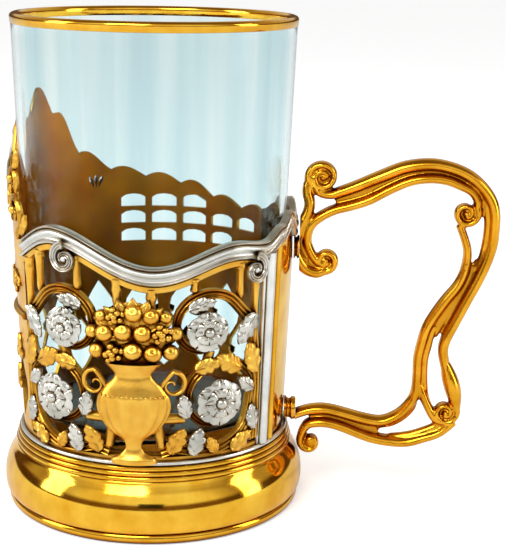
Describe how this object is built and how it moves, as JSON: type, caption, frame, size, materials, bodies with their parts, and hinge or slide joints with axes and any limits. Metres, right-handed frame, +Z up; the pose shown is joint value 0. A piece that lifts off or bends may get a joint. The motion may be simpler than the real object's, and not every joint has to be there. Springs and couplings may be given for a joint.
{
  "type": "tea glass holder",
  "caption": "Openwork tea glass holder with a stepped foot, scroll handle and silvered rocaille border, with a loose gilt-rimmed tea glass.",
  "frame": {"origin": "centre of the foot's resting plane, on the axis of the glass", "axes": "+Z up along the axis of the glass; +X towards the handle; -Y is the front"},
  "size_m": [0.1207, 0.0743, 0.1187],
  "materials": {
    "gilt_polished": "gold plate over brass, polished",
    "gilt_satin": "gold plate over cast brass, satin with dark recesses",
    "gilt_inside": "gold plate, matt inside",
    "silver": "silver plate over brass, polished",
    "tea_glass": "clear thin glass",
    "gilt_rim": "fired gold band"
  },
  "bodies": {
    "holder": {"foot": "gilt_polished", "floor_plate": "gilt_inside", "lower_ring": "silver", "wall_front": "gilt_satin", "wall_back": "gilt_satin", "seam_strip": "gilt_satin", "column_front": "silver", "column_back": "silver", "border_front": "silver", "border_back": "silver", "border_handle": "silver", "border_volutes": "silver", "handle": "gilt_polished", "handle_pad_upper": "gilt_polished", "handle_pad_lower": "gilt_polished", "urn": "gilt_satin", "bouquet": "gilt_satin", "rosettes": "silver", "silver_leaves": "silver", "gilt_leaves": "gilt_satin", "crest_ribs": "gilt_satin", "side_finial": "gilt_satin"},
    "tea_glass": {"glass_tumbler": "tea_glass", "rim_gilding": "gilt_rim"}
  },
  "joints": [
    {"name": "glass_lift", "type": "slide", "parent": "holder", "child": "tea_glass", "axis": [0, 0, 1], "range_m": [0, 0.11]}
  ]
}
